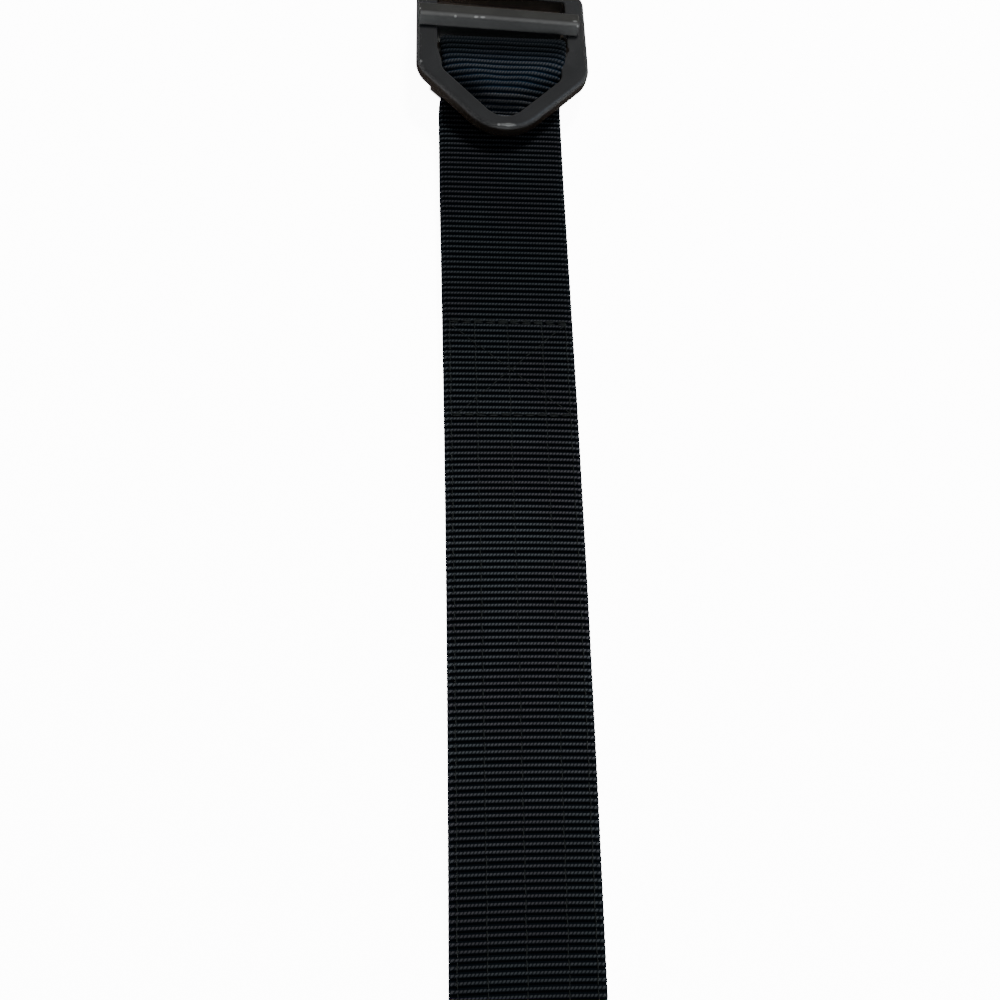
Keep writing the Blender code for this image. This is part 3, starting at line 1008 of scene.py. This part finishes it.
def weigh_normals(piece):
    weighted = piece.modifiers.new("flat faces stay flat", "WEIGHTED_NORMAL")
    weighted.keep_sharp = True
    weighted.weight = 100


class BELT_OT_add_buckle_frame(bpy.types.Operator):
    """Adds the buckle's frame with its ring, rails, end bar and crossbar"""

    bl_idname = "belt.add_buckle_frame"
    bl_label = "Add buckle frame"

    def execute(self, context):
        webbing = context.scene.belt_webbing
        buckle = context.scene.belt_buckle
        surface = coated_metal(
            "coated_frame", buckle.bare, buckle.coating, buckle.side, CHIPS, thinned_and_highlit=0.02
        )
        mesh = buckle_frame_mesh(webbing, buckle)
        piece = new_piece("coated_buckle_frame", mesh, surface)
        weigh_normals(piece)
        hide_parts("buckle_frame")
        new_piece("coated_crossbar", crossbar_mesh(webbing, buckle), surface)
        return {"FINISHED"}


# Rounding of the slide bar's lower edges, its top edge at the back and its two ends
LOWER_ROUND, BACK_ROUND, END_ROUND = 0.0003, 0.0008, 0.0005
# Chips in its coating, given as those of the frame
SLIDE_CHIPS = (
    (-0.0309, 0.0490, 0.0158, 0.0006, 1.0),
    (-0.0178, 0.0469, 0.0149, 0.0008, 1.0),
    (-0.0101, 0.0471, 0.0147, 0.0006, 2.0),
    (-0.0075, 0.0471, 0.0147, 0.0005, 3.0),
    # The last two, at the bar's right end, are bare marks that are also a painted highlight on its end
    # corner
    (0.0270, 0.0480, 0.0136, 0.0006, 2.0),
    (0.0281, 0.0465, 0.0129, 0.0006, 1.0),
)


def bar_over_rails(slide):
    """The bar's section, stood up and drawn out sideways."""
    shape = bmesh.new()
    flat_outline(shape, [
        (0.0, GAP, LOWER_ROUND),
        (slide.depth, GAP, LOWER_ROUND),
        (slide.depth, slide.height, BACK_ROUND),
        (slide.lean, slide.height, slide.crest_radius),
    ])
    stand = Matrix(((0, 0, 1, -slide.span / 2), (1, 0, 0, 0), (0, 1, 0, 0), (0, 0, 0, 1)))
    bmesh.ops.transform(shape, matrix=stand, verts=shape.verts)
    draw_out(shape, (slide.span, 0, 0))
    end_rims = [edge for edge in shape.edges
                if sum(abs(face.normal.x) > 0.9 for face in edge.link_faces) == 1]
    rounded(shape, end_rims, "EDGES", END_ROUND, segments=3)
    return shape


def add_block_and_lips(shape, buckle, slide):
    """Draws the block out of the bar's underside, and the two lips out of the block's flanks."""
    for side in (-1, 1):
        cut(shape, (side * slide.block_half_width, 0, 0), (1, 0, 0))
    shape.normal_update()
    lip_top = -buckle.thickness - GAP
    for depth in (lip_top, lip_top - slide.lip_thickness):
        bottoms = [face for face in shape.faces
                   if face.normal.z < -0.99 and abs(face.calc_center_median().x) < 0.001]
        bottom = min(bottoms, key=lambda face: face.calc_center_median().z)
        grown = bmesh.ops.extrude_discrete_faces(shape, faces=[bottom])
        for vertex in grown["faces"][0].verts:
            vertex.co.z = depth
        shape.normal_update()
    for side in (-1, 1):
        flanks = [face for face in shape.faces
                  if face.normal.x * side > 0.99 and face.calc_center_median().z < lip_top]
        grown = bmesh.ops.extrude_discrete_faces(shape, faces=flanks)
        for face in grown["faces"]:
            for vertex in face.verts:
                vertex.co.x = side * slide.lip_half_width


def slide_bar_mesh(webbing, buckle, slide):
    """The bar with its block and lips, laid on the sloping rails."""
    shape = bar_over_rails(slide)
    add_block_and_lips(shape, buckle, slide)
    mark_wear(shape, front_only=True)
    drop = float(rail_drop(webbing, buckle, slide.at))
    height = frame_underside(webbing) + buckle.thickness - drop
    lie = Matrix.Rotation(-math.atan(rail_slope(webbing, buckle)), 4, "X")
    turn = Matrix.Rotation(slide.skew, 4, "Z")
    spot = Matrix.Translation((slide.offset, TIP_Y + slide.at, height))
    bmesh.ops.transform(shape, matrix=askew(buckle) @ spot @ turn @ lie, verts=shape.verts)
    return smooth(finished_mesh("slide_bar", shape), sharp_from=50)


class BELT_OT_add_slide_bar(bpy.types.Operator):
    """Adds the loose bar that lies across the rails"""

    bl_idname = "belt.add_slide_bar"
    bl_label = "Add slide bar"

    def execute(self, context):
        buckle = context.scene.belt_buckle
        slide = context.scene.belt_slide
        mesh = slide_bar_mesh(context.scene.belt_webbing, buckle, slide)
        # The slide bar's front crest is bare along its length: worn coating and a painted highlight
        surface = coated_metal(
            "coated_slide", buckle.bare, slide.coating, slide.front, SLIDE_CHIPS, thinned_and_highlit=0.27
        )
        piece = new_piece("coated_slide_bar", mesh, surface)
        weigh_normals(piece)
        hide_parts("slide_bar")
        return {"FINISHED"}


# The stage

# Place and target as (x, distance from the ring's tip along the belt, height), size, power and tint
LIGHTS = {
    "key": ((0.42, 1.35, 1.35), (0.0, -0.1, 0.0), (0.35, 0.35), 100.0, (1.0, 0.98, 0.95)),
    "overhead": ((0.11, -0.48, 1.08), (0.0, 0.0, 0.0), (0.3, 0.3), 1.2, (1.0, 0.99, 0.97)),
    "window": ((1.0, -0.1, 1.1), (0.0, 0.0, 0.0), (0.4, 0.4), 3.4, (0.6, 0.8, 1.0)),
    "front": ((0.15, -1.9, 0.5), (0.0, 0.0, 0.0), (1.6, 0.5), 12.0, (0.95, 0.98, 1.0)),
    "tail": ((0.2, -0.6, 1.2), (0.0, -0.3, 0.0), (0.6, 0.6), 1.6, (1.0, 1.0, 1.0)),
}
ROOM_COLOUR, ROOM_STRENGTH = (0.94, 0.97, 1.0, 1.0), 0.08
# The floor lies this far down, below the stitches of the under ply
FLOOR_Z = -0.0003
# The shade under the buckle ends over these stretches at its sides, its slanted sides and its end
SHADE_SIDE = (0.0265, 0.0275)
SHADE_TIP = (-0.002, -0.001)
SHADE_END = (0.0685, 0.0695)
SHADE_COLOUR = (0.02, 0.02, 0.02)
SHADE_GLOW = (0.0018, 0.0015, 0.0012)
SPECK_COLOUR = (0.8, 0.8, 0.8)
WHITE = (1.0, 1.0, 1.0)


def area_light(name, place, target, size, power, tint):
    """A rectangular light that faces its target."""
    light = bpy.data.lights.new(name, "AREA")
    light.shape = "RECTANGLE"
    light.size, light.size_y = size
    light.energy = power
    light.color = tint
    made = new_object(name, light)
    place, target = Vector(place) + TIP, Vector(target) + TIP
    made.location = place
    made.rotation_euler = (target - place).to_track_quat("-Z", "Y").to_euler()
    return made


def floor_finish(settings):
    """A pale table that glows, save under the buckle, where it stays in shadow."""
    finish = Finish("pale_floor")
    x, along, _ = finish.parts(finish.place)
    aside = x.maths("ABSOLUTE")
    beside = aside.above(*SHADE_SIDE)
    before = 1 - (along - aside).past(SHADE_TIP)
    open_floor = beside.maths("MAXIMUM", before.maths("MAXIMUM", along.past(SHADE_END)))
    speck = finish.noise(scale=900.0, detail=2.0)
    lit = finish.blend(speck * 0.04, settings.floor_colour, SPECK_COLOUR)
    return finish.finished(
        base_color=finish.blend(open_floor, SHADE_COLOUR, lit),
        roughness=0.9,
        emission_color=finish.blend(open_floor, SHADE_GLOW, WHITE),
        emission_strength=settings.glow,
    )


def set_camera():
    """The photo's own camera: its place, its turn and its angle of view."""
    right = Vector(CAMERA_RIGHT).normalized()
    back = right.cross(Vector(CAMERA_UP)).normalized()
    turn = Matrix((right, back.cross(right), back)).transposed().to_4x4()
    data = bpy.data.cameras.new("photo_camera")
    data.lens = data.sensor_width * FOCAL_SHARE
    data.clip_start = 0.01
    made = new_object("photo_camera", data)
    place = Vector(PHOTO_ORIGIN) + TIP + Vector(CAMERA_POINT)
    made.matrix_world = Matrix.Translation(place) @ turn
    bpy.context.scene.camera = made


class BELT_OT_set_stage(bpy.types.Operator):
    """Adds the floor, the lights and the camera"""

    bl_idname = "belt.set_stage"
    bl_label = "Set the stage"

    def execute(self, context):
        settings = context.scene.belt_stage
        shape = bmesh.new()
        bmesh.ops.create_grid(shape, x_segments=1, y_segments=1, size=settings.floor_size / 2)
        mesh = as_mesh("floor", shape)
        mesh.materials.append(floor_finish(settings))
        floor = new_object("floor", mesh)
        floor.location.z = FLOOR_Z
        floor.visible_glossy = False
        world = bpy.data.worlds.new("soft_room")
        world.use_nodes = True
        background = world.node_tree.nodes["Background"]
        background.inputs["Color"].default_value = ROOM_COLOUR
        background.inputs["Strength"].default_value = ROOM_STRENGTH
        context.scene.world = world
        for name, (place, target, size, power, tint) in LIGHTS.items():
            light = area_light(name, place, target, size, power, tint)
            # The metal mirrors every light but the key light
            light.visible_glossy = name != "key"
        set_camera()
        return {"FINISHED"}


class BELT_PT_pieces(bpy.types.Panel):
    """Lists the belt's pieces"""

    bl_label = "Belt"
    bl_idname = "BELT_PT_pieces"
    bl_space_type = "VIEW_3D"
    bl_region_type = "UI"
    bl_category = "Belt"

    def draw(self, context):
        for operator in OPERATORS:
            self.layout.operator(operator.bl_idname)


SETTINGS = {
    "belt_webbing": WebbingSettings,
    "belt_stitch": StitchSettings,
    "belt_buckle": BuckleSettings,
    "belt_slide": SlideSettings,
    "belt_stage": StageSettings,
}
OPERATORS = (
    BELT_OT_add_webbing,
    BELT_OT_add_stitching,
    BELT_OT_add_buckle_frame,
    BELT_OT_add_slide_bar,
    BELT_OT_set_stage,
)


def register():
    for kind in (*SETTINGS.values(), *OPERATORS, BELT_PT_pieces):
        bpy.utils.register_class(kind)
    for name, kind in SETTINGS.items():
        setattr(bpy.types.Scene, name, PointerProperty(type=kind))


def unregister():
    for name in SETTINGS:
        delattr(bpy.types.Scene, name)
    for kind in (BELT_PT_pieces, *reversed(OPERATORS), *SETTINGS.values()):
        bpy.utils.unregister_class(kind)


def main():
    register()
    bpy.ops.belt.add_webbing()
    bpy.ops.belt.add_stitching()
    bpy.ops.belt.add_buckle_frame()
    bpy.ops.belt.add_slide_bar()
    bpy.ops.belt.set_stage()


if __name__ == "__main__":
    main()
